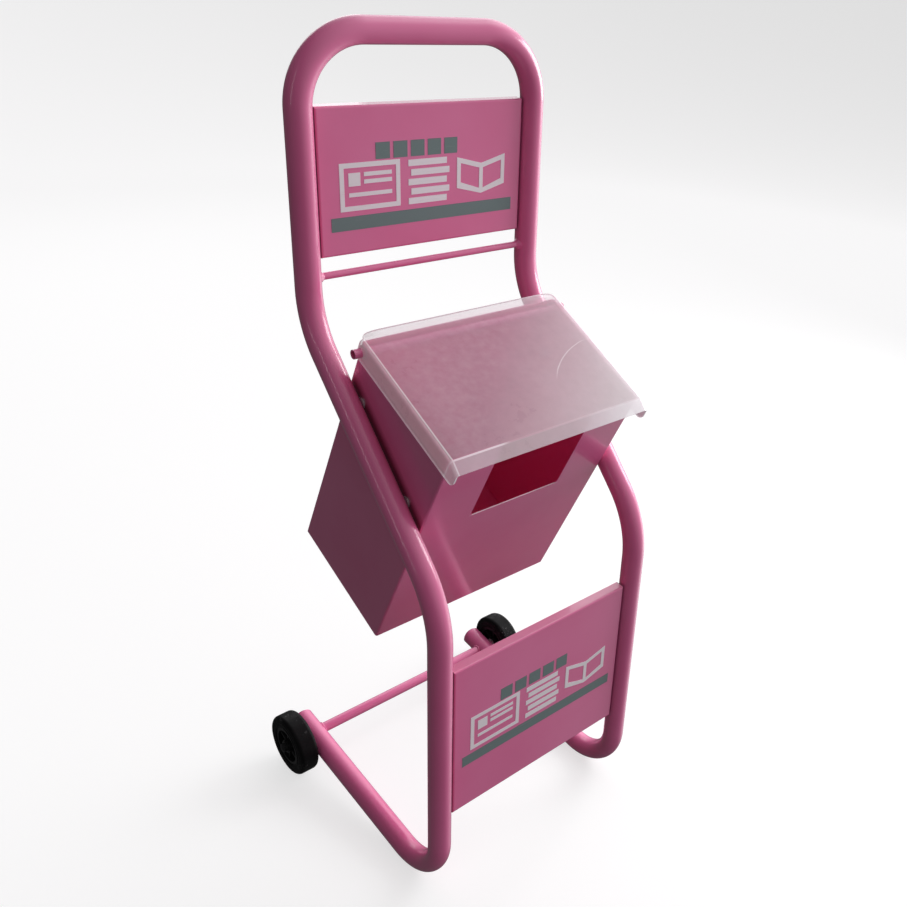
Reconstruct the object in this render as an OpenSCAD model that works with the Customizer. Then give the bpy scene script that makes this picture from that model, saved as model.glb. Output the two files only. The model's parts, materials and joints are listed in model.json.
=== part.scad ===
// Free-standing newspaper rack on two rear wheels: a bent round-tube frame with a sign
// tray at the top and another low at the front, a tilted sheet-metal bin between the
// rails, and a clear lid that hinges on a tube through the back of the bin.
// +Z is up, the front faces -Y, and the origin is on the floor under the middle.

/* [Frame] */
// Distance between the centrelines of the two side rails
rail_gap = 340; // [320:5:400]
// Outside diameter of the frame tube
tube_d = 32; // [28:1:35]
// Wall thickness of the frame tube
tube_wall = 1.5; // [1:0.5:3]
// Bend radius at the floor, on the tube's centreline
floor_bend_r = 80; // [70:5:90]
// Slope of the floor runners, rising towards the wheels
runner_slope = 7.5; // [6:0.5:9]
// Straight length of each floor runner
runner_len = 293; // [280:1:320]
// Height at which the line of the leg meets the line of the diagonal
knee_z = 499; // [480:1:520]
// Angle that the tube turns at the knee and back again at the upper bend
knee_turn = 44; // [40:1:46]
// Bend radius of the knee
knee_bend_r = 145; // [100:5:160]
// Distance from the plane of the legs back to the plane of the uprights
upright_y = 274; // [260:2:290]
// Bend radius between diagonal and upright
upper_bend_r = 110; // [80:5:130]
// Height of the arch, on the tube's centreline
arch_z = 1122; // [1110:2:1200]
// Bend radius of the two arch corners
arch_bend_r = 85; // [60:5:85]
// Height of the domed cap on each runner's end
cap_rise = 7; // [4:1:10]
// Diameter of the thin rod across the uprights
rod_d = 9; // [6:1:12]
// Height of the thin rod's axis
rod_z = 839; // [834:1:845]

/* [Signs] */
// Width of both sign trays
sign_w = 304; // [290:1:304]
// Depth of both sign trays
sign_depth = 15; // [10:1:25]
// Thickness of all the sheet metal
sheet = 1.5; // [1:0.5:2]
// Outside bend radius of the folded sheet
fold_r = 3; // [2:0.5:5]
// Height of the upper tray's bottom edge
upper_sign_z = 862; // [858:1:870]
// Height of the upper tray
upper_sign_h = 178; // [150:1:180]
// Height of the lower tray's bottom edge
lower_sign_z = 145; // [140:1:160]
// Height of the lower tray
lower_sign_h = 251; // [200:1:260]
// Width of the printed band on each sign
band_w = 274; // [220:2:280]
// Height of the printed band
band_h = 17; // [12:1:20]
// Thickness of the printed film
film = 0.3; // [0.2:0.1:0.5]

/* [Bin] */
// Width of the bin
bin_w = 304; // [290:1:304]
// Depth of the bin, front to back
bin_depth = 198; // [170:1:210]
// Height of the bin along its front wall
bin_h = 396; // [350:2:420]
// Angle that the bin leans forward at the top
bin_tilt = 25.4; // [20:0.2:30]
// Distance of the bin's top front corner behind the legs
bin_y = 8; // [0:1:15]
// Height of the bin's top front corner
bin_z = 699; // [690:1:710]
// Width of the notch in the front wall
notch_w = 148; // [120:2:180]
// Depth of the notch below the top edge
notch_h = 148; // [120:2:180]
// Radius of the notch's two lower corners
notch_foot_r = 6; // [3:1:20]
// Radius of the notch's two upper corners
notch_mouth_r = 8; // [3:1:20]

/* [Lid] */
// Width of the lid over its side skirts
lid_w = 312; // [310:1:314]
// Thickness of the clear sheet
lid_t = 2.5; // [2:0.5:3]
// Height of the lid's top face over the bin's top edge
lid_top = 5.5; // [5.5:0.5:8]
// Depth of the side skirts below the bin's top edge
skirt_drop = 23; // [20:1:30]
// Distance that the lid's top reaches behind the bin
lid_tail = 9; // [7:1:11]
// Distance that the front lip reaches forward of its fold
lip_reach = 17; // [12:1:20]
// Drop of the front lip from its fold to its edge
lip_drop = 7.5; // [5:0.5:12]
// Radius of the rounded front corner of each skirt
ear_r = 9; // [6:1:12]
// Outside diameter of the hinge tube
hinge_d = 12; // [10:1:12]
// Length of the hinge tube
hinge_len = 332; // [324:2:338]

/* [Wheels] */
// Diameter of the wheels
wheel_d = 100; // [90:2:110]
// Width of the wheels
wheel_w = 30; // [24:1:36]
// Radius of the tyre's shoulders
shoulder_r = 6; // [3:1:10]
// Diameter of the axle
axle_d = 10; // [8:1:12]
// Diameter of the sleeve that holds the axle between the runners
sleeve_d = 16; // [14:1:20]
// Radial running clearance of the wheels and of the lid on their shafts
run_gap = 0.06; // [0.02:0.01:0.1]

/* [Hidden] */
$fn = 48;
over = 1;
powder = [0.70, 0.24, 0.40];
film_pale = [0.86, 0.84, 0.83];
film_grey = [0.36, 0.42, 0.42];
clear_sheet = [0.85, 0.84, 0.85, 0.4];
zinc = [0.72, 0.73, 0.74];
black = [0.06, 0.06, 0.06];

tube_r = tube_d / 2;
bore_d = tube_d - 2 * tube_wall;
rail_x = rail_gap / 2;

// Side view points are [y, z], with y = 0 in the plane of the legs.
function along(p, angle, length) = p + length * [cos(angle), sin(angle)];

floor_centre = [floor_bend_r, floor_bend_r + tube_r];
runner_start = along(floor_centre, runner_slope - 90, floor_bend_r);
runner_end = along(runner_start, runner_slope, runner_len);
axle_at = along(runner_start, runner_slope, (wheel_d / 2 - runner_start[1]) / sin(runner_slope));

rise = 90 - knee_turn;
knee_set = knee_bend_r * tan(knee_turn / 2);
upper_set = upper_bend_r * tan(knee_turn / 2);
knee = [0, knee_z];
upper_corner = along(knee, rise, upright_y / cos(rise));
leg_start = [0, floor_centre[1]];
leg_len = knee_z - knee_set - leg_start[1];
knee_centre = [knee_bend_r, knee_z - knee_set];
diagonal_start = along(knee, rise, knee_set);
diagonal_len = norm(upper_corner - knee) - knee_set - upper_set;
upper_centre = [upright_y - upper_bend_r, upper_corner[1] + upper_set];
upright_start = [upright_y, upper_centre[1]];
upright_len = arch_z - arch_bend_r - upright_start[1];

cap_sphere_r = (tube_r * tube_r + cap_rise * cap_rise) / (2 * cap_rise);
cap_back_y = along(runner_end, runner_slope, cap_rise - cap_sphere_r)[0] + cap_sphere_r;
back_y = max(cap_back_y, axle_at[0] + wheel_d / 2);
middle_y = (back_y - tube_r) / 2;

// The two bolts on each side lie on the diagonal's centreline.
bolt_shares = [0.36, 0.705];
bolt_at = [for (share = bolt_shares) along(knee, rise, share * norm(upper_corner - knee))];
bolt_d = 6;
bolt_reach = 12;
washer_d = 16;
nut_flats = 10;
nut_h = 5;

// Bin and lid positions are [y, z] in the bin's own tilted frame.
hinge_at = [bin_depth - 8, -11];
lug_r = 9;
lip_fold = [-3.5, lid_top];
lip_edge = lip_fold - [lip_reach, lip_drop];
lip_angle = atan2(lip_drop, lip_reach);
lip_inside = lid_t * [sin(lip_angle), -cos(lip_angle)];
tail_corner_r = 10;
hinge_wall = 1.5;
hinge_washer_t = 0.8;

tyre_inner_r = 32;
hub_boss_r = 11;
hub_web = 8;
hub_rim = 5;
wheel_gap = 2.8;
wheel_in_x = rail_x + tube_r + wheel_gap;
wheel_washer_t = 2.3;
axle_cap_gap = 0.3;
axle_cap_len = 8;
axle_cap_bore = 5;
axle_cap_x = wheel_in_x + wheel_w + axle_cap_gap;

// ---- placing ----

// Moves the model from the plane of the legs to the middle of its footprint.
module centred() {
    translate([0, -middle_y, 0]) children();
}

// Draws its children in the bin's tilted frame, origin at the top front edge.
module in_bin() {
    translate([0, bin_y, bin_z]) rotate([bin_tilt, 0, 0]) children();
}

// Extrudes a side view, given in [y, z], symmetrically about x = 0.
module across(width) {
    rotate([90, 0, 90]) translate([0, 0, -width / 2]) linear_extrude(width) children();
}

// A cylinder along X from x0 to x1 (either order), at side view point p.
module crosswise(p, x0, x1, d) {
    translate([min(x0, x1), p[0], p[1]]) rotate([0, 90, 0]) cylinder(h = abs(x1 - x0), d = d);
}

// ---- tube pieces: each one runs in the plane of a rail and is cut square at both ends ----

// A straight bar from p, where an angle of 0 points to the rear and 90 straight up.
module straight_bar(x, p, angle, length, d) {
    translate([x, p[0], p[1]]) rotate([angle - 90, 0, 0]) cylinder(h = length, d = d);
}

module straight_tube(x, p, angle, length) {
    difference() {
        straight_bar(x, p, angle, length, tube_d);
        straight_bar(x, along(p, angle, -over), angle, length + 2 * over, bore_d);
    }
}

// A quarter or less of a ring of tube, between two angles about its bend's centre.
module ring_tube(radius, from_angle, to_angle) {
    rotate([0, 0, from_angle]) rotate_extrude(angle = to_angle - from_angle)
        translate([radius, 0]) difference() {
            circle(d = tube_d);
            circle(d = bore_d);
        }
}

module bent_tube(x, centre, radius, from_angle, to_angle) {
    translate([x, centre[0], centre[1]]) rotate([90, 0, 90]) ring_tube(radius, from_angle, to_angle);
}

module upright_bar(side) {
    straight_bar(side * rail_x, upright_start, 90, upright_len, tube_d);
}

module diagonal_bar(side) {
    straight_bar(side * rail_x, diagonal_start, rise, diagonal_len, tube_d);
}

module runner_bar(side) {
    straight_bar(side * rail_x, runner_start, runner_slope, runner_len, tube_d);
}

// ---- frame ----

module floor_bend(side) {
    color(powder) centred()
        bent_tube(side * rail_x, floor_centre, floor_bend_r, 180, 270 + runner_slope);
}

module runner(side) {
    reach = tube_d;
    color(powder) centred() difference() {
        straight_tube(side * rail_x, runner_start, runner_slope, runner_len);
        crosswise(axle_at, side * (rail_x - reach), side * (rail_x + reach), axle_d);
    }
}

module leg(side) {
    color(powder) centred() straight_tube(side * rail_x, leg_start, 90, leg_len);
}

module knee_bend(side) {
    color(powder) centred()
        bent_tube(side * rail_x, knee_centre, knee_bend_r, 180 - knee_turn, 180);
}

module diagonal(side) {
    color(powder) centred() straight_tube(side * rail_x, diagonal_start, rise, diagonal_len);
}

module upper_bend(side) {
    color(powder) centred()
        bent_tube(side * rail_x, upper_centre, upper_bend_r, -knee_turn, 0);
}

module upright(side) {
    color(powder) centred() straight_tube(side * rail_x, upright_start, 90, upright_len);
}

module arch_corner(side) {
    first = side < 0 ? 90 : 0;
    color(powder) centred()
        translate([side * (rail_x - arch_bend_r), upright_y, arch_z - arch_bend_r])
            rotate([90, 0, 0]) ring_tube(arch_bend_r, first, first + 90);
}

module arch() {
    half = rail_x - arch_bend_r;
    color(powder) centred() difference() {
        crosswise([upright_y, arch_z], -half, half, tube_d);
        crosswise([upright_y, arch_z], -half - over, half + over, bore_d);
    }
}

// Domed plug that closes a runner's rear end, turned about the runner's axis.
module runner_cap(side) {
    plug = 10;
    color(powder) centred() translate([side * rail_x, runner_end[0], runner_end[1]])
        rotate([runner_slope - 90, 0, 0]) rotate_extrude() {
            translate([0, -plug]) square([bore_d / 2, plug]);
            intersection() {
                square([tube_r, cap_rise]);
                translate([0, cap_rise - cap_sphere_r]) circle(r = cap_sphere_r);
            }
        }
}

module cross_rod() {
    color(powder) centred() difference() {
        crosswise([upright_y, rod_z], -rail_x, rail_x, rod_d);
        for (side = [-1, 1]) upright_bar(side);
    }
}

// Fillet of weld around each end of the cross rod.
module cross_rod_welds() {
    weld_d = rod_d + 7;
    weld_h = 4;
    foot_x = rail_x - tube_r;
    color(powder) centred() for (side = [-1, 1]) difference() {
        translate([side * (foot_x + weld_h), upright_y, rod_z]) rotate([0, -side * 90, 0])
            cylinder(h = 2 * weld_h, d1 = weld_d + 4, d2 = rod_d);
        upright_bar(side);
        crosswise([upright_y, rod_z], -rail_x, rail_x, rod_d);
    }
}

// ---- signs ----

// Rectangle with its corners at [x0, y0] rounded on the two sides that face -Y.
module front_rounded(width, depth, r) {
    translate([-width / 2, r]) square([width, depth - r]);
    translate([-width / 2 + r, 0]) square([width - 2 * r, depth]);
    for (side = [-1, 1]) translate([side * (width / 2 - r), r]) circle(r = r);
}

// Solid block with its four front edges rounded, its face in the plane y = 0.
module cushion_block(width, height, depth, r) {
    intersection() {
        linear_extrude(height) front_rounded(width, depth, r);
        translate([0, 0, height / 2]) rotate([0, -90, 0]) translate([0, 0, -width / 2])
            linear_extrude(width) front_rounded(height, depth, r);
    }
}

// Sheet folded back along its four edges.
module sign_tray(height) {
    difference() {
        cushion_block(sign_w, height, sign_depth, fold_r);
        translate([0, sheet, sheet])
            cushion_block(sign_w - 2 * sheet, height - 2 * sheet, sign_depth, fold_r - sheet);
    }
}

upper_face_y = upright_y - 3;
lower_face_y = -5;

module upper_sign() {
    color(powder) centred() translate([0, upper_face_y, upper_sign_z]) sign_tray(upper_sign_h);
}

module lower_sign() {
    color(powder) centred() translate([0, lower_face_y, lower_sign_z]) sign_tray(lower_sign_h);
}

// Small round tack between a tray's side and the tube, at each of the given heights.
module tacks(y, tube_y, heights) {
    tack_d = 5;
    for (side = [-1, 1], z = heights) difference() {
        crosswise([y, z], side * sign_w / 2, side * rail_x, tack_d);
        translate([side * rail_x, tube_y, z - tack_d]) cylinder(h = 2 * tack_d, d = tube_d);
    }
}

tack_inset = 30;

module upper_sign_tacks() {
    color(powder) centred() tacks(upper_face_y + 6, upright_y,
        [upper_sign_z + tack_inset, upper_sign_z + upper_sign_h - tack_inset]);
}

module lower_sign_tacks() {
    color(powder) centred() tacks(lower_face_y + 6, 0,
        [lower_sign_z + tack_inset, lower_sign_z + lower_sign_h - tack_inset]);
}

// ---- printed film: a plain band and squares, with library pictograms in outline between ----

icon_h = 58;
icon_line = 6;
icon_lift = 15;
icon_slant = 4;
mark_count = 5;
mark_size = 20;
mark_pitch = 25;
mark_at = [-74, 75];

module frame_outline(width, height) {
    difference() {
        square([width, height]);
        translate([icon_line, icon_line]) square([width - 2 * icon_line, height - 2 * icon_line]);
    }
}

// A folded newspaper: an outlined sheet with a picture block and three lines of print.
module newspaper_icon(width) {
    frame_outline(width, icon_h);
    translate([12, 30]) square([16, 16]);
    for (row = [0, 1]) translate([33, 32 + 9 * row]) square([width - 45, 5]);
    translate([12, 17]) square([width - 24, 5]);
}

// A stack of papers seen from the side, each one shifted a little.
module stack_icon(width) {
    for (row = [0 : 4]) translate([(row % 2) * icon_slant, row * 12]) square([width - icon_slant, 8]);
}

// An open book: two leaning pages on a spine.
module book_icon(width) {
    half = width / 2;
    for (flip = [0, 1]) translate([half, 0]) mirror([flip, 0]) difference() {
        polygon([[0, 0], [half, 10], [half, 50], [0, 40]]);
        polygon([[icon_line / 2, icon_line + 1], [half - icon_line, 17], [half - icon_line, 42],
                 [icon_line / 2, 34]]);
    }
}

// Stands a drawing given in [x, z] against a sign's face.
module on_face(face_y, z) {
    translate([0, face_y, z]) rotate([90, 0, 0]) linear_extrude(film) children();
}

// The band, and a row of plain squares in the same colour above the pictograms.
module print_band(face_y, z) {
    on_face(face_y, z) {
        translate([-band_w / 2, -band_h / 2]) square([band_w, band_h]);
        for (i = [0 : mark_count - 1]) translate(mark_at + [i * mark_pitch, 0]) square(mark_size);
    }
}

module print_icons(face_y, z) {
    on_face(face_y, z + icon_lift) {
        translate([-124, 0]) newspaper_icon(84);
        translate([-28, 0]) stack_icon(62);
        translate([46, 4]) book_icon(78);
    }
}

upper_band_z = upper_sign_z + 39;
lower_band_z = lower_sign_z + 86;

module upper_print_band() {
    color(film_grey) centred() print_band(upper_face_y, upper_band_z);
}

module upper_print_icons() {
    color(film_pale) centred() print_icons(upper_face_y, upper_band_z);
}

module lower_print_band() {
    color(film_grey) centred() print_band(lower_face_y, lower_band_z);
}

module lower_print_icons() {
    color(film_pale) centred() print_icons(lower_face_y, lower_band_z);
}

// ---- bin ----

module rounded_rect(width, depth, r) {
    translate([-width / 2, r]) square([width, depth - 2 * r]);
    translate([-width / 2 + r, 0]) square([width - 2 * r, depth]);
    for (sx = [-1, 1], y = [r, depth - r]) translate([sx * (width / 2 - r), y]) circle(r = r);
}

inner_r = fold_r - sheet;

// The bin's wall in plan, between two depths.
module wall_plan(y0, y1) {
    intersection() {
        difference() {
            rounded_rect(bin_w, bin_depth, fold_r);
            translate([0, sheet]) rounded_rect(bin_w - 2 * sheet, bin_depth - 2 * sheet, inner_r);
        }
        translate([-bin_w, y0]) square([2 * bin_w, y1 - y0]);
    }
}

module bin_wall(y0, y1) {
    translate([0, 0, -bin_h]) linear_extrude(bin_h) wall_plan(y0, y1);
}

// Notch in [x, z], open at the top edge, with four rounded corners.
module notch_outline() {
    half = notch_w / 2;
    translate([-half, notch_foot_r - notch_h]) square([notch_w, notch_h - notch_foot_r + over]);
    translate([notch_foot_r - half, -notch_h]) square([notch_w - 2 * notch_foot_r, notch_h]);
    for (side = [-1, 1]) {
        translate([side * (half - notch_foot_r), notch_foot_r - notch_h]) circle(r = notch_foot_r);
        difference() {
            translate([side > 0 ? half : -half - notch_mouth_r, -notch_mouth_r])
                square([notch_mouth_r, notch_mouth_r + over]);
            translate([side * (half + notch_mouth_r), -notch_mouth_r]) circle(r = notch_mouth_r);
        }
    }
}

module bin_front() {
    color(powder) centred() in_bin() difference() {
        bin_wall(0, fold_r);
        translate([0, fold_r + over, 0]) rotate([90, 0, 0])
            linear_extrude(fold_r + 2 * over) notch_outline();
    }
}

module bin_rear() {
    color(powder) centred() in_bin() difference() {
        bin_wall(bin_depth - fold_r, bin_depth);
        crosswise(hinge_at, -bin_w, bin_w, hinge_d);
    }
}

module bin_side(side) {
    hole_d = bolt_d + 0.4;
    color(powder) centred() difference() {
        in_bin() intersection() {
            bin_wall(fold_r, bin_depth - fold_r);
            translate([side * bin_w / 2, 0, 0]) cube([fold_r * 4, 3 * bin_depth, 3 * bin_h], center = true);
        }
        in_bin() crosswise(hinge_at, side * (bin_w / 2 - 5), side * (bin_w / 2 + 5), hinge_d);
        for (p = bolt_at) crosswise(p, side * (bin_w / 2 - 5), side * (bin_w / 2 + 5), hole_d);
    }
}

module bin_floor() {
    color(powder) centred() in_bin() translate([0, sheet, -bin_h])
        linear_extrude(sheet) rounded_rect(bin_w - 2 * sheet, bin_depth - 2 * sheet, inner_r);
}

// ---- bolts that carry the bin on the diagonals ----

module bolt(side, i) {
    color(zinc) centred() difference() {
        crosswise(bolt_at[i], side * rail_x, side * (rail_x - tube_r - bolt_reach), bolt_d);
        diagonal_bar(side);
    }
}

module spacer(side, i) {
    spacer_x = rail_x - tube_r;
    color(zinc) centred() difference() {
        crosswise(bolt_at[i], side * bin_w / 2, side * spacer_x, washer_d);
        crosswise(bolt_at[i], side * (bin_w / 2 - over), side * (spacer_x + over), bolt_d);
    }
}

module nut(side, i) {
    nut_x = bin_w / 2 - sheet;
    color(zinc) centred() difference() {
        translate([side * (nut_x - nut_h / 2), bolt_at[i][0], bolt_at[i][1]]) rotate([0, 90, 0])
            cylinder(h = nut_h, d = nut_flats / cos(30), center = true, $fn = 6);
        crosswise(bolt_at[i], side * (nut_x - nut_h - over), side * (nut_x + over), bolt_d);
    }
}

// ---- lid and its hinge ----

module hinge_tube() {
    half = hinge_len / 2;
    color(powder) centred() in_bin() difference() {
        crosswise(hinge_at, -half, half, hinge_d);
        crosswise(hinge_at, -half - over, half + over, hinge_d - 2 * hinge_wall);
    }
}

module hinge_washer(side) {
    x = bin_w / 2;
    color(film_pale) centred() in_bin() difference() {
        crosswise(hinge_at, side * x, side * (x + hinge_washer_t), hinge_d + 6);
        crosswise(hinge_at, side * (x - over), side * (x + 2 * hinge_washer_t), hinge_d);
    }
}

// Side view of the lid: top, sloping front lip, and skirt with rounded ends.
module lid_outline() {
    skirt_end = hinge_at[0] + lug_r - 2;
    ear = [lip_edge[0] + ear_r, ear_r - skirt_drop];
    polygon([[bin_depth + lid_tail, lid_top], lip_fold, lip_edge, [lip_edge[0], ear[1]],
             [ear[0], -skirt_drop], [hinge_at[0], -skirt_drop], [skirt_end, hinge_at[1]],
             [skirt_end, lid_top - lid_t], [bin_depth + lid_tail, lid_top - lid_t]]);
    translate(ear) circle(r = ear_r);
    translate([hinge_at[0], lug_r - skirt_drop]) circle(r = lug_r);
}

// What is cut away between the skirts: all but the top sheet and the lip.
module lid_inside() {
    far = 2 * bin_depth;
    under = lid_top - lid_t;
    polygon([[far, under], [lip_fold[0] + lid_t * tan(lip_angle / 2), under], lip_edge + lip_inside,
             lip_edge, [-far, lip_edge[1]], [-far, -far], [far, -far]]);
}

// The lid in plan, with its two rear corners rounded.
module lid_plan() {
    front = lip_edge[0] - over;
    back = bin_depth + lid_tail;
    translate([-lid_w / 2, front]) square([lid_w, back - tail_corner_r - front]);
    translate([tail_corner_r - lid_w / 2, front]) square([lid_w - 2 * tail_corner_r, back - front]);
    for (side = [-1, 1])
        translate([side * (lid_w / 2 - tail_corner_r), back - tail_corner_r]) circle(r = tail_corner_r);
}

module lid() {
    color(clear_sheet) centred() in_bin() difference() {
        intersection() {
            across(lid_w) lid_outline();
            translate([0, 0, -2 * skirt_drop]) linear_extrude(3 * skirt_drop) lid_plan();
        }
        across(lid_w - 2 * lid_t) lid_inside();
        crosswise(hinge_at, -lid_w, lid_w, hinge_d + 2 * run_gap);
    }
}

// ---- axle and wheels ----

module axle() {
    half = axle_cap_x + axle_cap_bore;
    color(zinc) centred() crosswise(axle_at, -half, half, axle_d);
}

// Sleeve round the axle, its ends shaped to the two runners that it is welded to.
module axle_sleeve() {
    color(powder) centred() difference() {
        crosswise(axle_at, -rail_x, rail_x, sleeve_d);
        crosswise(axle_at, -rail_x - over, rail_x + over, axle_d);
        for (side = [-1, 1]) runner_bar(side);
    }
}

module axle_washer(side) {
    x0 = rail_x + tube_r;
    color(zinc) centred() difference() {
        crosswise(axle_at, side * x0, side * (x0 + wheel_washer_t), axle_d + 9);
        crosswise(axle_at, side * (x0 - over), side * (x0 + wheel_washer_t + over), axle_d);
    }
}

// Places a turned shape, drawn about its own axis, on the axle outboard of a runner.
module on_axle(side) {
    translate([side * (wheel_in_x + wheel_w / 2), axle_at[0], axle_at[1]])
        rotate([0, side * 90, 0]) children();
}

module tyre(side) {
    r_out = wheel_d / 2;
    color(black) centred() on_axle(side) rotate_extrude() {
        translate([tyre_inner_r, -wheel_w / 2])
            square([r_out - shoulder_r - tyre_inner_r, wheel_w]);
        translate([tyre_inner_r, shoulder_r - wheel_w / 2])
            square([r_out - tyre_inner_r, wheel_w - 2 * shoulder_r]);
        for (end = [-1, 1])
            translate([r_out - shoulder_r, end * (wheel_w / 2 - shoulder_r)]) circle(r = shoulder_r);
    }
}

module hub(side) {
    bore_r = axle_d / 2 + run_gap;
    rim_w = wheel_w - 2;
    color(black) centred() on_axle(side) rotate_extrude() {
        translate([bore_r, -wheel_w / 2]) square([hub_boss_r - bore_r, wheel_w]);
        translate([bore_r, -hub_web / 2]) square([tyre_inner_r - bore_r, hub_web]);
        translate([tyre_inner_r - hub_rim, -rim_w / 2]) square([hub_rim, rim_w]);
    }
}

// Moulded cap pushed over the axle's end, turned about the axle.
module axle_cap(side) {
    flange_r = axle_d / 2 + 4.5;
    flange_t = 1.2;
    crown_r = axle_d / 2 + 2;
    crown_sphere_r = 1.5 * crown_r;
    color(black) centred() translate([side * axle_cap_x, axle_at[0], axle_at[1]])
        rotate([0, side * 90, 0]) rotate_extrude() difference() {
            union() {
                square([flange_r, flange_t]);
                intersection() {
                    square([crown_r, axle_cap_len]);
                    translate([0, axle_cap_len - crown_sphere_r]) circle(r = crown_sphere_r);
                }
            }
            translate([-over, -over]) square([axle_d / 2 + over, axle_cap_bore + over]);
        }
}

runner(-1);  // runner_left
runner(1);  // runner_right
floor_bend(-1);  // floor_bend_left
floor_bend(1);  // floor_bend_right
leg(-1);  // leg_left
leg(1);  // leg_right
knee_bend(-1);  // knee_bend_left
knee_bend(1);  // knee_bend_right
diagonal(-1);  // diagonal_left
diagonal(1);  // diagonal_right
upper_bend(-1);  // upper_bend_left
upper_bend(1);  // upper_bend_right
upright(-1);  // upright_left
upright(1);  // upright_right
arch_corner(-1);  // arch_corner_left
arch_corner(1);  // arch_corner_right
arch();
runner_cap(-1);  // runner_cap_left
runner_cap(1);  // runner_cap_right
cross_rod();
cross_rod_welds();
upper_sign();
lower_sign();
upper_sign_tacks();
lower_sign_tacks();
upper_print_band();
upper_print_icons();
lower_print_band();
lower_print_icons();
bin_front();
bin_rear();
bin_side(-1);  // bin_side_left
bin_side(1);  // bin_side_right
bin_floor();
bolt(-1, 0);  // bolt_left_front
bolt(-1, 1);  // bolt_left_rear
bolt(1, 0);  // bolt_right_front
bolt(1, 1);  // bolt_right_rear
spacer(-1, 0);  // spacer_left_front
spacer(-1, 1);  // spacer_left_rear
spacer(1, 0);  // spacer_right_front
spacer(1, 1);  // spacer_right_rear
nut(-1, 0);  // nut_left_front
nut(-1, 1);  // nut_left_rear
nut(1, 0);  // nut_right_front
nut(1, 1);  // nut_right_rear
hinge_tube();
hinge_washer(-1);  // hinge_washer_left
hinge_washer(1);  // hinge_washer_right
lid();
axle();
axle_sleeve();
axle_washer(-1);  // axle_washer_left
axle_washer(1);  // axle_washer_right
tyre(-1);  // tyre_left
tyre(1);  // tyre_right
hub(-1);  // hub_left
hub(1);  // hub_right
axle_cap(-1);  // axle_cap_left
axle_cap(1);  // axle_cap_right
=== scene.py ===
"""Looks for the newspaper rack: materials, bent lid, weld beads, wheel details and studio."""
import json
import math

import bmesh
import bpy
from mathutils import Matrix, Vector


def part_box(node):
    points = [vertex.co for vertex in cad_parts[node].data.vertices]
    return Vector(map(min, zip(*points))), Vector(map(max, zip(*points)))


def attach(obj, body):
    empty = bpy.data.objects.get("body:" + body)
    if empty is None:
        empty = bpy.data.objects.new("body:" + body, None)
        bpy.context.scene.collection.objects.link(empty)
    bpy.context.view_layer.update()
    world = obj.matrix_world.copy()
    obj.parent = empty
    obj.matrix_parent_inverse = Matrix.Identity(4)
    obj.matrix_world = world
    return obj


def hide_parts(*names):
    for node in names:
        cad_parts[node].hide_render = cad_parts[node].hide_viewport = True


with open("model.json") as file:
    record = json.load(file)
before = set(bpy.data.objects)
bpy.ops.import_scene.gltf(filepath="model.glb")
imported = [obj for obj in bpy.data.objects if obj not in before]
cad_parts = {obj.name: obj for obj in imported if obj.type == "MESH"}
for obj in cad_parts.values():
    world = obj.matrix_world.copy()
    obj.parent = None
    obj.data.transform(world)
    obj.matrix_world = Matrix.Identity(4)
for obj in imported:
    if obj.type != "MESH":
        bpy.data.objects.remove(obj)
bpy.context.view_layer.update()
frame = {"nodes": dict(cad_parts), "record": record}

MM = 0.001


# ---- places on the rack ----

def middle(node):
    """The middle of a CAD node's bounding box."""
    low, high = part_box(node)
    return (low + high) / 2


LEGS_Y = middle("leg_left").y
KNEE_Z = 499 * MM
DIAGONAL_RISE = math.radians(46)
BIN_TILT = math.radians(25.4)
BIN_TOP_FRONT = Vector((0, LEGS_Y + 8 * MM, 699 * MM))

# In the bin's tilted frame: the notch's foot is a height, the lid's front fold a distance along.
NOTCH_FOOT = -148 * MM
LID_FOLD = -3.5 * MM
LID_HALF = 156 * MM
LID_BEND = 5 * MM


def bin_frame():
    """The bin's tilted frame: X across, Y rearward along its top edge, Z up out of it."""
    return Matrix.Translation(BIN_TOP_FRONT) @ Matrix.Rotation(BIN_TILT, 4, "X")


# ---- materials ----

PALE_PINK = (0.90, 0.52, 0.65)


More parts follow.
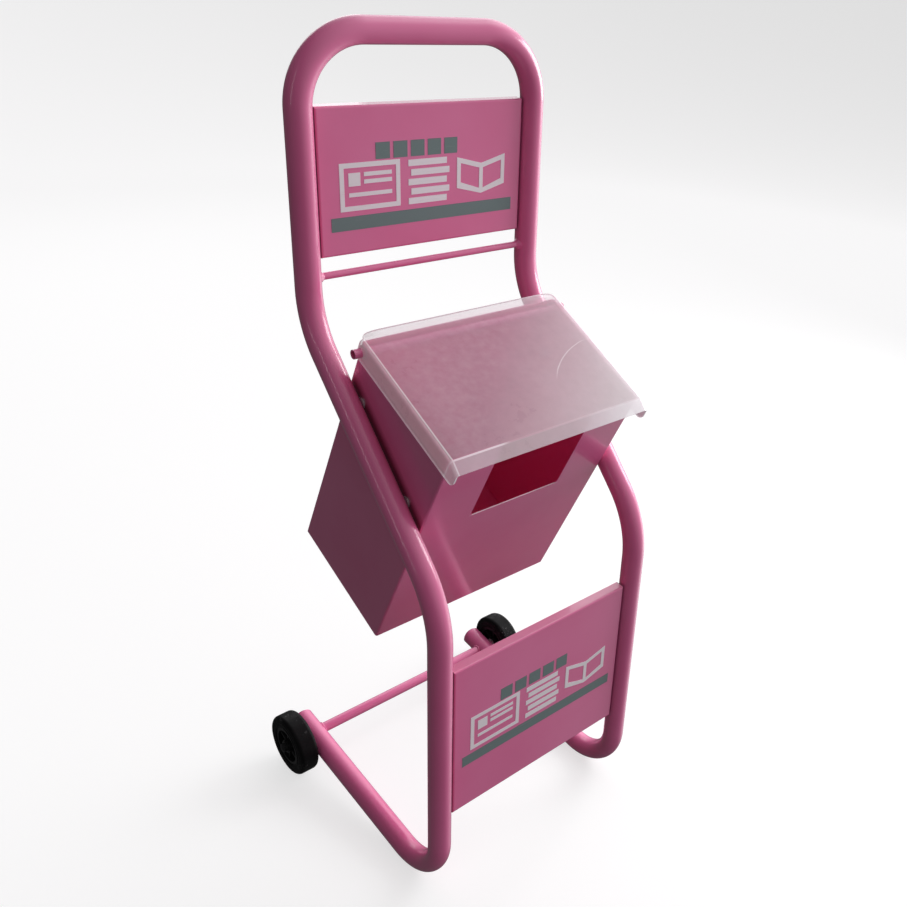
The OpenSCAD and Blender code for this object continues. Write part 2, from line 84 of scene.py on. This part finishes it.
class Shader:
    """A material's node tree, with short calls for the nodes that this scene uses."""

    def __init__(self, name):
        self.material = bpy.data.materials.new(name)
        self.material.use_nodes = True
        self.tree = self.material.node_tree
        self.bsdf = self.tree.nodes["Principled BSDF"]
        self.coords = self.node("ShaderNodeTexCoord").outputs["Object"]

    def node(self, kind, **settings):
        made = self.tree.nodes.new(kind)
        for key, value in settings.items():
            setattr(made, key, value)
        return made

    def link(self, output, node_input):
        self.tree.links.new(output, node_input)

    def set(self, **values):
        for key, value in values.items():
            self.bsdf.inputs[key.replace("_", " ")].default_value = value

    def stretched(self, scale):
        """Object coordinates scaled along each axis, so that a texture runs one way."""
        mapping = self.node("ShaderNodeMapping")
        mapping.inputs["Scale"].default_value = scale
        self.link(self.coords, mapping.inputs["Vector"])
        return mapping.outputs["Vector"]

    def noise(self, scale, detail=4.0, roughness=0.55, vector=None):
        made = self.node("ShaderNodeTexNoise")
        made.inputs["Scale"].default_value = scale
        made.inputs["Detail"].default_value = detail
        made.inputs["Roughness"].default_value = roughness
        self.link(vector or self.coords, made.inputs["Vector"])
        return made.outputs["Fac"]

    def ramp(self, fac, low, high, out_low=0.0, out_high=1.0):
        """Maps fac from low..high to out_low..out_high, clamped."""
        made = self.node("ShaderNodeMapRange", clamp=True)
        for key, value in (("From Min", low), ("From Max", high),
                           ("To Min", out_low), ("To Max", out_high)):
            made.inputs[key].default_value = value
        self.link(fac, made.inputs["Value"])
        return made.outputs["Result"]

    def math(self, operation, first, *others):
        """A maths node for numbers or outputs, or a chain of them for more than two values."""
        total = first
        for other in others or (0,):
            made = self.node("ShaderNodeMath", operation=operation)
            for i, value in enumerate((total, other)):
                if isinstance(value, (int, float)):
                    made.inputs[i].default_value = value
                else:
                    self.link(value, made.inputs[i])
            total = made.outputs[0]
        return total

    def shares(self, *pairs):
        """Each mask times its share, for pairs of a mask and a share."""
        return [self.math("MULTIPLY", mask, share) for mask, share in pairs]

    def vector_math(self, operation, vector, constant=(0, 0, 0)):
        """The outputs of an operation on a vector output and a constant."""
        made = self.node("ShaderNodeVectorMath", operation=operation)
        self.link(vector, made.inputs[0])
        made.inputs[1].default_value = constant
        return made.outputs

    def split(self, vector):
        """The X, Y and Z outputs of a vector."""
        made = self.node("ShaderNodeSeparateXYZ")
        self.link(vector, made.inputs[0])
        return made.outputs["X"], made.outputs["Y"], made.outputs["Z"]

    def facing_up(self):
        """How far the surface faces up: the Z of its normal."""
        return self.split(self.node("ShaderNodeNewGeometry").outputs["Normal"])[2]

    def near(self, value, centre, full, none):
        """1 where value lies within full of centre, falling to 0 at none away from it."""
        off = self.math("ABSOLUTE", self.math("SUBTRACT", value, centre))
        return self.ramp(off, full, none, 1.0, 0.0)

    def mix(self, fac, first, second):
        """Blends two colours, each a tuple or an output."""
        made = self.node("ShaderNodeMix", data_type="RGBA")
        self.link(fac, made.inputs["Factor"])
        for key, value in ((6, first), (7, second)):
            if isinstance(value, tuple):
                made.inputs[key].default_value = (*value, 1.0)
            else:
                self.link(value, made.inputs[key])
        return made.outputs[2]

    def bump(self, height, distance, strength=1.0):
        made = self.node("ShaderNodeBump")
        made.inputs["Strength"].default_value = strength
        made.inputs["Distance"].default_value = distance
        self.link(height, made.inputs["Height"])
        self.link(made.outputs["Normal"], self.bsdf.inputs["Normal"])


def place_on_bin(s):
    """A point's place in the bin's tilted frame."""
    tilted = s.node("ShaderNodeMapping", vector_type="TEXTURE")
    tilted.inputs["Location"].default_value = BIN_TOP_FRONT
    tilted.inputs["Rotation"].default_value = (BIN_TILT, 0, 0)
    s.link(s.coords, tilted.inputs["Vector"])
    return tilted.outputs["Vector"]


def powder_coat(name, touch_up=None):
    """Glossy pink powder coat: orange peel, slight fading, a little dust on top, fine scuffs."""
    s = Shader(name)
    pink = (0.843, 0.152, 0.367)
    faded = (0.88, 0.190, 0.415)
    scuff = (0.93, 0.41, 0.62)
    colour = s.mix(s.ramp(s.noise(6.0, 3.0), 0.35, 0.7), pink, faded)
    specks = s.ramp(s.noise(120.0, 5.0, 0.7), 0.5, 0.8, 0.0, 0.16)
    colour = s.mix(s.math("MULTIPLY", s.ramp(s.facing_up(), 0.55, 1.0), specks), colour, PALE_PINK)
    lines = s.noise(16.0, 6.0, 0.75, s.stretched((14.0, 1.0, 3.0)))
    marks = s.math("MULTIPLY", s.ramp(lines, 0.68, 0.74), s.ramp(s.noise(9.0), 0.52, 0.64))
    colour = s.mix(s.math("MULTIPLY", marks, 0.35), colour, scuff)
    if touch_up:
        colour = touch_up(s, colour)
    s.link(colour, s.bsdf.inputs["Base Color"])
    uneven = s.ramp(s.noise(30.0, 6.0), 0.3, 0.75, 0.28, 0.38)
    s.link(s.math("ADD", uneven, s.math("MULTIPLY", marks, 0.2)), s.bsdf.inputs["Roughness"])
    s.bump(s.noise(650.0, 2.0), 0.00005, 0.4)
    s.set(Coat_Weight=0.8, Coat_Roughness=0.1, Coat_IOR=1.5)
    return s.material


def tray_touches(s, colour):
    """Paler faces that look up on a sign tray, and painted shade on its sides in the gaps next to
    the tubes.
    """
    # Faces that look up are paled towards pale pink.
    colour = s.mix(s.ramp(s.facing_up(), 0.7, 1.0, 0.0, 0.45), colour, PALE_PINK)
    across, _, _ = s.split(s.coords)
    # Painted shade: the tray's sides are darkened almost to black in the narrow gaps beside the
    # tubes, where shadow falls.
    gap_shade = s.ramp(s.math("ABSOLUTE", across), 150.7 * MM, 151.7 * MM, 0.0, 0.92)
    return s.mix(gap_shade, colour, (0.04, 0.012, 0.02))


def bin_touches(s, colour):
    """Deeper, redder inside the bin as painted bounce light, a painted highlight on the notch's
    lower edge, and painted shadow beside the diagonals.
    """
    across, along, height = s.split(place_on_bin(s))
    aside = s.math("ABSOLUTE", across)
    # Each wall's inner side is told from its outer side within the 1.5 mm of its sheet.
    inside = s.math("MINIMUM", s.ramp(aside, 150.6 * MM, 151.2 * MM, 1.0, 0.0),
                    s.ramp(along, 0.6 * MM, 1.2 * MM),
                    s.ramp(along, 196.8 * MM, 197.4 * MM, 1.0, 0.0),
                    s.ramp(height, -395.6 * MM, -394.9 * MM))
    # Painted light: the bin's inside is made deeper and redder for light bounced between its
    # walls.
    colour = s.mix(inside, colour, (1.0, 0.14, 0.40))
    # Painted highlight: a light line along the notch's lower edge, where the sheet's edge catches
    # the light.
    notch_edge_highlight = s.math("MINIMUM", s.near(height, NOTCH_FOOT, 0.4 * MM, 0.8 * MM),
                       s.ramp(aside, 72 * MM, 76 * MM, 1.0, 0.0),
                       s.ramp(along, 3 * MM, 4 * MM, 1.0, 0.0))
    colour = s.mix(notch_edge_highlight, colour, (0.97, 0.70, 0.80))
    # Painted shadow: the bin's sides are darkened in a band just behind each diagonal tube.
    from_knee = s.vector_math("SUBTRACT", s.coords, (0, LEGS_Y, KNEE_Z))["Vector"]
    upward = (0, -math.sin(DIAGONAL_RISE), math.cos(DIAGONAL_RISE))
    off_tube = s.vector_math("DOT_PRODUCT", from_knee, upward)["Value"]
    diagonal_shadow = s.math("MULTIPLY", s.near(off_tube, 0, 7 * MM, 22 * MM),
                   s.ramp(aside, 151.4 * MM, 151.8 * MM, 0.0, 0.8))
    return s.mix(diagonal_shadow, colour, (0.20, 0.006, 0.04))


def printed_film(name, colour, worn):
    """Matte printed vinyl with faint scratches and slight fading."""
    s = Shader(name)
    lines = s.noise(20.0, 6.0, 0.7, s.stretched((1.0, 1.0, 10.0)))
    base = s.mix(s.ramp(lines, 0.60, 0.72, 0.0, 0.6), colour, worn)
    s.link(base, s.bsdf.inputs["Base Color"])
    s.link(s.ramp(s.noise(60.0), 0.3, 0.7, 0.42, 0.56), s.bsdf.inputs["Roughness"])
    s.bump(s.noise(900.0, 2.0), 0.00003, 0.4)
    return s.material


def curved_scratch(s, place, centre, radius, facing, spread, width):
    """Mask of a scratch on the lid: an arc about centre, in the bin's tilted frame."""
    away = s.vector_math("SUBTRACT", place, (*centre, 0))["Vector"]
    flat = s.vector_math("MULTIPLY", away, (1, 1, 0))["Vector"]
    reach = s.vector_math("LENGTH", flat)["Value"]
    wander = s.ramp(s.noise(25.0, 2.0), 0.3, 0.7, -width, width)
    line = s.near(s.math("ADD", reach, wander), radius, width / 2, 1.6 * width)
    unit = s.vector_math("NORMALIZE", flat)["Vector"]
    middle_way = (math.cos(facing), math.sin(facing), 0)
    aimed = s.vector_math("DOT_PRODUCT", unit, middle_way)["Value"]
    return s.math("MULTIPLY", line, s.ramp(aimed, math.cos(spread), math.cos(0.6 * spread)))


def clear_plastic():
    """The lid's outer face: hazy and scratched, whiter on its folds, lip, skirts and right side,
    partly as painted highlight and painted scattered light, with a painted glow.
    """
    s = Shader("clear_plastic")
    place = place_on_bin(s)
    across, along, _ = s.split(place)
    skirt = s.ramp(s.math("ABSOLUTE", across), 152.4 * MM, 153.4 * MM)
    lip = s.ramp(along, LID_FOLD - 1 * MM, LID_FOLD, 1.0, 0.0)
    lip_end = s.math("MULTIPLY", lip, s.ramp(across, 30 * MM, 150 * MM))
    rear = s.ramp(along, 182 * MM, 204 * MM, 0.0, 0.8)
    front_fold = s.math("MULTIPLY", s.near(along, LID_FOLD, 0.8 * MM, 1.6 * MM),
                        s.ramp(across, -80 * MM, -68 * MM, 1.0, 0.35))
    fold = s.math("MAXIMUM", front_fold, s.near(across, -151.8 * MM, 0.7 * MM, 1.5 * MM),
                  s.near(across, 152.8 * MM, 1.4 * MM, 2.6 * MM))
    bent = s.math("MAXIMUM", skirt, fold)
    # A gradient towards the front right: whiter and less clear there.
    front_right = s.vector_math("DOT_PRODUCT", place, (4.0, -3.7, 0))["Value"]
    worn = s.ramp(front_right, -0.53, 0.47)
    mottle = s.ramp(s.noise(90.0, 4.0), 0.30, 0.72)
    clouds = s.ramp(s.noise(7.0, 5.0, 0.6), 0.3, 0.7)
    haze = s.math("ADD", *s.shares((clouds, 0.65), (mottle, 0.35)))
    fine = s.noise(40.0, 7.0, 0.8, s.stretched((1.0, 9.0, 1.0)))
    crossing = s.noise(40.0, 7.0, 0.8, s.stretched((8.0, 1.5, 1.0)))
    lines = s.math("MAXIMUM", s.ramp(fine, 0.68, 0.72), s.ramp(crossing, 0.70, 0.74))
    fine_scratches = s.math("MULTIPLY", lines, s.ramp(s.noise(11.0), 0.50, 0.64, 0.0, 0.4))
    long_scratch = curved_scratch(s, place, (156 * MM, -16 * MM), 129 * MM, math.radians(119),
                                  math.radians(24), 0.7 * MM)
    scratches = s.math("MAXIMUM", fine_scratches, s.math("MULTIPLY", long_scratch, 0.7))
    # Painted light: the folds are whitened partly as stressed plastic and partly as a painted
    # highlight, and the skirts and lip as painted light scattered in the sheet.
    whitened = s.math("MAXIMUM", bent, worn, rear, *s.shares((lip, 0.7), (mottle, 0.2)))
    colour = s.mix(whitened, (0.84, 0.46, 0.62), (0.97, 0.93, 0.96))
    s.link(s.mix(scratches, colour, (0.98, 0.95, 0.97)), s.bsdf.inputs["Base Color"])
    rough = s.math("ADD", 0.24, *s.shares((haze, 0.12), (scratches, 0.3)))
    s.link(rough, s.bsdf.inputs["Roughness"])
    alpha = s.math("ADD", s.ramp(haze, 0.0, 1.0, 0.42, 0.52),
                   *s.shares((worn, 0.20), (bent, 0.14), (lip, 0.07), (lip_end, 0.14),
                             (scratches, 0.25)))
    s.link(alpha, s.bsdf.inputs["Alpha"])
    # Painted glow: the skirts, folds and the lip's right end give out light, though they are no
    # lamp.
    rightward = s.ramp(across, -150 * MM, 150 * MM)
    painted_glow = s.math("MAXIMUM", *s.shares((skirt, 0.13), (fold, 0.24), (lip_end, 0.15)))
    s.link(painted_glow, s.bsdf.inputs["Emission Strength"])
    s.link(s.mix(s.math("MAXIMUM", fold, rightward), (1.0, 0.55, 0.66), (1.0, 0.92, 0.97)),
           s.bsdf.inputs["Emission Color"])
    s.set(IOR=1.49, Coat_Weight=0.25, Coat_Roughness=0.1)
    return s.material


def clear_inside():
    """The lid's inner face, which nothing has rubbed: nearly all clear."""
    s = Shader("clear_inside")
    s.link(s.ramp(s.noise(20.0), 0.3, 0.7, 0.08, 0.14), s.bsdf.inputs["Roughness"])
    s.set(Base_Color=(0.92, 0.80, 0.86, 1.0), Alpha=0.08, IOR=1.49)
    return s.material


def frosted_edge():
    """The sheet's sawn edges, which give out light gathered in the sheet and look nearly white."""
    s = Shader("frosted_edge")
    grain = s.noise(300.0, 3.0)
    colour = s.mix(s.ramp(grain, 0.35, 0.7), (0.94, 0.88, 0.92), (0.98, 0.97, 0.98))
    s.link(colour, s.bsdf.inputs["Base Color"])
    s.link(s.ramp(grain, 0.3, 0.7, 0.3, 0.5), s.bsdf.inputs["Roughness"])
    s.set(Alpha=0.9, Emission_Color=(1.0, 0.88, 0.93, 1.0), Emission_Strength=0.12)
    return s.material


def zinc_plate():
    """Bright zinc with a fine grain and a little dulling."""
    s = Shader("zinc_plate")
    dull = s.ramp(s.noise(120.0, 5.0), 0.35, 0.7)
    s.link(s.mix(dull, (0.84, 0.85, 0.87), (0.62, 0.62, 0.61)), s.bsdf.inputs["Base Color"])
    s.link(s.ramp(s.noise(260.0, 4.0), 0.3, 0.7, 0.22, 0.42), s.bsdf.inputs["Roughness"])
    s.bump(s.noise(1200.0, 2.0), 0.00002, 0.5)
    s.set(Metallic=0.75)
    return s.material


def nylon():
    """Natural nylon, off-white and slightly translucent."""
    s = Shader("nylon")
    colour = s.mix(s.noise(80.0), (0.62, 0.61, 0.57), (0.74, 0.73, 0.69))
    s.link(colour, s.bsdf.inputs["Base Color"])
    s.link(s.ramp(s.noise(200.0), 0.3, 0.7, 0.4, 0.55), s.bsdf.inputs["Roughness"])
    s.set(Subsurface_Weight=0.1)
    return s.material


def tyre_rubber():
    """Near-black rubber, faintly greyed where it has rolled, with a few pale specks as painted
    highlights.
    """
    s = Shader("tyre_rubber")
    worn = s.ramp(s.noise(45.0, 6.0, 0.7), 0.45, 0.75, 0.0, 0.5)
    colour = s.mix(worn, (0.003, 0.003, 0.0035), (0.011, 0.010, 0.010))
    # Painted highlights: pale specks where the tyre catches the light.
    scuffs = s.math("MULTIPLY", s.ramp(s.noise(260.0, 5.0, 0.8), 0.56, 0.66),
                    s.ramp(s.noise(32.0, 2.0), 0.54, 0.66))
    s.link(s.mix(scuffs, colour, (0.22, 0.22, 0.23)), s.bsdf.inputs["Base Color"])
    s.link(s.ramp(s.noise(110.0, 5.0), 0.3, 0.7, 0.42, 0.62), s.bsdf.inputs["Roughness"])
    s.bump(s.noise(700.0, 5.0, 0.7), 0.0002, 0.5)
    s.set(Specular_IOR_Level=0.14)
    return s.material


def hub_plastic():
    """Moulded black plastic with a fine satin grain."""
    s = Shader("hub_plastic")
    colour = s.mix(s.noise(50.0, 5.0), (0.007, 0.007, 0.008), (0.015, 0.015, 0.015))
    s.link(colour, s.bsdf.inputs["Base Color"])
    s.link(s.ramp(s.noise(150.0, 5.0), 0.3, 0.7, 0.32, 0.46), s.bsdf.inputs["Roughness"])
    s.bump(s.noise(1500.0, 2.0), 0.00003, 0.5)
    s.set(Specular_IOR_Level=0.3)
    return s.material


MATERIALS = {
    "pink_powder_coat": powder_coat("pink_powder_coat"),
    "clear_lid": clear_plastic(),
    "pale_film": printed_film("pale_film", (0.98, 0.90, 0.95), (0.94, 0.68, 0.79)),
    "grey_film": printed_film("grey_film", (0.165, 0.225, 0.225), (0.29, 0.31, 0.32)),
    "zinc_plate": zinc_plate(),
    "nylon": nylon(),
    "tyre_rubber": tyre_rubber(),
    "hub_plastic": hub_plastic(),
}
TRAY = powder_coat("tray_powder_coat", tray_touches)
BIN = powder_coat("bin_powder_coat", bin_touches)
INSIDE = clear_inside()
EDGE = frosted_edge()


def paint_cad_nodes():
    """Every CAD node takes its slot's material, or for the trays and the bin a touched-up one."""
    for part in frame["record"]["subparts"]:
        name = part["node"]
        node = frame["nodes"][name]
        node.data.materials.clear()
        if name in ("upper_sign", "lower_sign"):
            node.data.materials.append(TRAY)
        elif name.startswith("bin_"):
            node.data.materials.append(BIN)
        else:
            node.data.materials.append(MATERIALS[part["material_slot"]])


# ---- pieces ----

def add_piece(name, mesh, body, slot):
    """Puts a bmesh, already in the row frame, into the scene as a piece that rides on a body."""
    data = bpy.data.meshes.new(name)
    mesh.to_mesh(data)
    mesh.free()
    data.shade_smooth()
    data.materials.append(MATERIALS[slot])
    piece = bpy.data.objects.new(name, data)
    bpy.context.scene.collection.objects.link(piece)
    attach(piece, body)
    return piece


def arc(centre, radius, start, end, steps):
    """Points on an arc about centre, angles in degrees."""
    turns = [math.radians(start + (end - start) * i / steps) for i in range(steps + 1)]
    return [(centre[0] + radius * math.cos(t), centre[1] + radius * math.sin(t)) for t in turns]


def lid_sheet():
    """One bent sheet: top, sloping front lip and side skirts, with soft folds and sawn edges."""
    top, skirt_foot = 5.5 * MM, -23 * MM
    fold, lip_reach, lip_drop = LID_FOLD, 17 * MM, 7.5 * MM
    ear, ear_z = 9 * MM, -14 * MM
    hinge_y, skirt_back, tail_y, tail_round = 190 * MM, 197 * MM, 207 * MM, 10 * MM
    front = fold - lip_reach
    soft = 1.6 * MM

    def top_at(y):
        slope = lip_drop / lip_reach
        if y > fold + soft:
            return top
        if y < fold - soft:
            return top - slope * (fold - y)
        return top - slope * (fold + soft - y) ** 2 / (4 * soft)

    def foot_at(y):
        reach = max(front + ear - y, y - hinge_y, 0.0)
        return ear_z - math.sqrt(max(ear * ear - reach * reach, 0.0)) if reach else skirt_foot

    ys = [front + ear - ear * math.cos(math.radians(7.5 * i)) for i in range(12)]
    ys += [fold - soft, fold - soft / 2, fold, fold + soft / 2, fold + soft]
    ys += [fold + soft + (hinge_y - fold - soft) * i / 14 for i in range(1, 15)]
    ys += [hinge_y + (skirt_back - hinge_y) * i / 4 for i in range(1, 5)]
    flat = LID_HALF - LID_BEND
    made = bmesh.new()
    rows = []
    for y in ys:
        z, foot = top_at(y), foot_at(y)
        side_top = z - LID_BEND
        right = [(LID_HALF, foot + (side_top - foot) * i / 3) for i in range(3)]
        right += arc((flat, side_top), LID_BEND, 0, 90, 5)
        across = [(flat * (1 - i / 6), z) for i in range(1, 12)]
        left = [(-x, side_z) for x, side_z in reversed(right)]
        rows.append([made.verts.new((x, y, side_z)) for x, side_z in right + across + left])
    for front_row, back_row in zip(rows, rows[1:]):
        for i in range(len(front_row) - 1):
            made.faces.new((front_row[i], front_row[i + 1], back_row[i + 1], back_row[i]))
    skirt_points = len(right) - 1
    last = rows[-1][skirt_points:-skirt_points]
    for i in range(1, 7):
        turn = math.radians(15 * i)
        y = skirt_back + (tail_y - skirt_back) * math.sin(turn)
        width = flat - tail_round + tail_round * math.cos(turn)
        row = [made.verts.new((v.co.x / flat * width, y, top)) for v in last]
        for j in range(len(row) - 1):
            made.faces.new((last[j], last[j + 1], row[j + 1], row[j]))
        last = row
        flat = width
    made.transform(bin_frame())
    bmesh.ops.recalc_face_normals(made, faces=made.faces)
    if sum(f.normal.z for f in made.faces) < 0:
        bmesh.ops.reverse_faces(made, faces=made.faces)
    piece = add_piece("lid_sheet", made, "lid", "clear_lid")
    piece.data.materials.append(INSIDE)
    piece.data.materials.append(EDGE)
    thick = piece.modifiers.new("thickness", "SOLIDIFY")
    thick.thickness = 2.5 * MM
    thick.offset = -1
    thick.use_even_offset = True
    thick.material_offset = 1
    thick.material_offset_rim = 2
    soften = piece.modifiers.new("soft_edges", "BEVEL")
    soften.width = 0.8 * MM
    soften.segments = 2
    soften.limit_method = "ANGLE"
    soften.angle_limit = math.radians(50)
    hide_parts("lid")


def box_faces(made, size, place):
    """Adds a box of that size, turned and moved by a matrix."""
    bmesh.ops.create_cube(made, size=1.0, matrix=place @ Matrix.Diagonal((*size, 1.0)))


def wheel_ribs(side_name):
    """Moulded ribs that stand in the hub's recesses, between its boss and its rim."""
    count, thick, inner, outer = 6, 2.6 * MM, 10.5 * MM, 27.5 * MM
    web_face, rib_top = 3.8 * MM, 11.5 * MM
    centre = middle("hub_" + side_name)
    made = bmesh.new()
    for face in (-1, 1):
        for i in range(count):
            turn = Matrix.Rotation(math.tau * i / count, 4, "X")
            middle_of_rib = Vector((face * (web_face + rib_top) / 2, 0, (inner + outer) / 2))
            place = Matrix.Translation(centre) @ turn @ Matrix.Translation(middle_of_rib)
            box_faces(made, (rib_top - web_face, thick, outer - inner), place)
    piece = add_piece("wheel_ribs_" + side_name, made, "wheel_" + side_name, "hub_plastic")
    rounding = piece.modifiers.new("moulded_edges", "BEVEL")
    rounding.width = 0.6 * MM
    rounding.segments = 2


def closed_bead(made, spots, centre, thickness, section=10):
    """Adds a round-section bead along a closed loop of points about centre."""
    loops = []
    for i, spot in enumerate(spots):
        forward = (spots[(i + 1) % len(spots)] - spots[i - 1]).normalized()
        outward = spot - centre
        outward = (outward - outward.dot(forward) * forward).normalized()
        aside = forward.cross(outward)
        turns = [math.tau * j / section for j in range(section)]
        ring = [spot + thickness * (math.cos(t) * outward + math.sin(t) * aside) for t in turns]
        loops.append([made.verts.new(point) for point in ring])
    for i, loop in enumerate(loops):
        following = loops[(i + 1) % len(loops)]
        for j in range(section):
            k = (j + 1) % section
            made.faces.new((loop[j], loop[k], following[k], following[j]))


def circle_spots(centre, radius, x, count=96):
    """Points round a circle about the X axis through centre."""
    turns = [math.tau * i / count for i in range(count)]
    return [centre + Vector((x, radius * math.cos(t), radius * math.sin(t))) for t in turns]


def tyre_rings(side_name):
    """Raised mould lines on the tyre's walls and a fine seam at its crown."""
    low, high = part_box("tyre_" + side_name)
    centre, half, crown = (low + high) / 2, (high.x - low.x) / 2, (high.z - low.z) / 2
    line, seam = 0.9 * MM, 0.5 * MM
    made = bmesh.new()
    for face in (-1, 1):
        for radius in (0.70 * crown, 0.84 * crown):
            x = face * (half - line / 3)
            closed_bead(made, circle_spots(centre, radius, x), centre, line)
    closed_bead(made, circle_spots(centre, crown - seam, 0.0), centre, seam)
    bmesh.ops.recalc_face_normals(made, faces=made.faces)
    add_piece("tyre_rings_" + side_name, made, "wheel_" + side_name, "tyre_rubber")


def sleeve_weld(side_name):
    """Weld bead where the axle's sleeve meets a runner, along the curve where they cross."""
    bead, slope = 2.0 * MM, math.radians(7.5)
    axle, runner = middle("axle"), middle("leg_" + side_name).x
    low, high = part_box("axle_sleeve")
    sleeve_r = (high.z - low.z) / 2
    low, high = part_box("leg_" + side_name)
    tube_r = (high.x - low.x) / 2
    spots = []
    for i in range(64):
        turn = math.tau * i / 64
        ripple = 1 + 0.04 * math.sin(11 * turn)
        offset = sleeve_r * math.sin(turn - slope)
        x = runner - math.copysign(math.sqrt(tube_r ** 2 - offset ** 2), runner)
        r = sleeve_r * ripple
        spots.append(Vector((x, axle.y + r * math.cos(turn), axle.z + r * math.sin(turn))))
    made = bmesh.new()
    closed_bead(made, spots, sum(spots, Vector()) / len(spots), bead)
    bmesh.ops.recalc_face_normals(made, faces=made.faces)
    add_piece("sleeve_weld_" + side_name, made, "rack", "pink_powder_coat")


def floor_and_wall():
    """A round pale floor that curves up into a pale wall all round the rack."""
    radius, bend, height, around, below = 6.0, 1.8, 6.0, 96, 0.2 * MM
    profile = [(1.5, 0.0), (3.0, 0.0)] + arc((radius - bend, bend), bend, -90, 0, 20)
    profile.append((radius, height))
    turns = [math.tau * i / around for i in range(around)]
    made = bmesh.new()
    rings = [[made.verts.new((r * math.cos(t), r * math.sin(t), z - below)) for t in turns]
             for r, z in profile]
    made.faces.new(reversed(rings[0]))
    for lower, upper in zip(rings, rings[1:]):
        for i in range(around):
            j = (i + 1) % around
            made.faces.new((lower[i], upper[i], upper[j], lower[j]))
    bmesh.ops.recalc_face_normals(made, faces=made.faces)
    data = bpy.data.meshes.new("studio_bowl")
    made.to_mesh(data)
    made.free()
    data.shade_smooth()
    pale = Shader("studio_pale")
    shade = pale.mix(pale.noise(0.7), (0.38, 0.38, 0.38), (0.40, 0.40, 0.40))
    pale.link(shade, pale.bsdf.inputs["Base Color"])
    pale.set(Roughness=0.9, Emission_Color=(1.0, 1.0, 1.0, 1.0), Emission_Strength=0.66)
    pale.material.cycles.emission_sampling = "NONE"
    data.materials.append(pale.material)
    bowl = bpy.data.objects.new("studio_bowl", data)
    bpy.context.scene.collection.objects.link(bowl)
    bowl.visible_diffuse = False
    bowl.visible_glossy = False
    bowl.visible_shadow = False


# ---- camera and light ----

CAMERA_AZIMUTH = math.radians(-49.61)
CAMERA_ELEVATION = math.radians(27.53)
CAMERA_ROLL = math.radians(6.89)


def camera():
    """Stands where the photographer stood, above the lid and to the rack's left."""
    data = bpy.data.cameras.new("camera")
    data.lens = 39.19
    data.sensor_width = 36.0
    data.shift_x = -0.2287
    data.shift_y = -0.0042
    cam = bpy.data.objects.new("camera", data)
    bpy.context.scene.collection.objects.link(cam)
    level = math.cos(CAMERA_ELEVATION)
    back = Vector((level * math.sin(CAMERA_AZIMUTH), -level * math.cos(CAMERA_AZIMUTH),
                   math.sin(CAMERA_ELEVATION)))
    right = Vector((0, 0, 1)).cross(back).normalized()
    up = back.cross(right)
    rolled_right = math.cos(CAMERA_ROLL) * right + math.sin(CAMERA_ROLL) * up
    rolled_up = math.cos(CAMERA_ROLL) * up - math.sin(CAMERA_ROLL) * right
    turn = Matrix((rolled_right, rolled_up, back)).transposed().to_4x4()
    place = Vector((-743.7, -806.8, 1257.1)) * MM + Vector((0, LEGS_Y, 0))
    cam.matrix_world = Matrix.Translation(place) @ turn
    bpy.context.scene.camera = cam


def area_light(name, place, target, size, power):
    """A white rectangular lamp at place, turned towards target, power in watts."""
    data = bpy.data.lights.new(name, "AREA")
    data.shape = "RECTANGLE"
    data.size, data.size_y = size
    data.energy = power
    light = bpy.data.objects.new(name, data)
    bpy.context.scene.collection.objects.link(light)
    light.location = place
    outward = Vector(target) - Vector(place)
    light.rotation_euler = outward.to_track_quat("-Z", "Y").to_euler()


def world_glow(ambient, glows):
    """Soft surroundings: an even ambient light, and glows of (direction, sharpness, strength)."""
    world = bpy.data.worlds.new("studio")
    world.use_nodes = True
    tree = world.node_tree
    outward = tree.nodes.new("ShaderNodeTexCoord").outputs["Generated"]

    def maths(operation, a, b):
        made = tree.nodes.new("ShaderNodeMath")
        made.operation = operation
        tree.links.new(a, made.inputs[0])
        if isinstance(b, (int, float)):
            made.inputs[1].default_value = b
        else:
            tree.links.new(b, made.inputs[1])
        return made.outputs[0]

    total = None
    for direction, sharpness, strength in glows:
        facing = tree.nodes.new("ShaderNodeVectorMath")
        facing.operation = "DOT_PRODUCT"
        facing.inputs[1].default_value = Vector(direction).normalized()
        tree.links.new(outward, facing.inputs[0])
        glow = maths("POWER", maths("MAXIMUM", facing.outputs["Value"], 0.0), sharpness)
        glow = maths("MULTIPLY", glow, strength)
        total = maths("ADD", glow, ambient if total is None else total)
    tree.links.new(total, tree.nodes["Background"].inputs["Strength"])
    tree.nodes["Background"].inputs["Color"].default_value = (1.0, 0.98, 1.0, 1.0)
    bpy.context.scene.world = world


def studio():
    """Daylight from a window at the rack's right, its light off the floor and off a rear wall."""
    side = ((0.75, -0.40, 0.53), 1.0, 0.74)
    window = ((0.69, -0.05, 0.72), 20.0, 1.4)
    floor_shine = ((0.93, -0.05, -0.30), 12.0, 1.6)
    rear_shine = ((0.675, 0.575, 0.46), 8.0, 1.3)
    world_glow(0.09, (side, window, floor_shine, rear_shine))
    area_light("low_window", (1.9, -0.2, 1.2), (-0.1, 0, 0.2), (1.2, 1.0), 21)
    area_light("back_fill", (0.8, 3.0, 1.8), (0, 0, 0.6), (1.6, 1.6), 8)
    area_light("strip", (-2.6, -0.3, 1.6), (0, 0, 0.6), (0.08, 1.6), 2)
    bpy.context.scene.view_settings.view_transform = "Standard"


paint_cad_nodes()
lid_sheet()
for side_name in ("left", "right"):
    wheel_ribs(side_name)
    tyre_rings(side_name)
    sleeve_weld(side_name)
camera()
studio()
floor_and_wall()
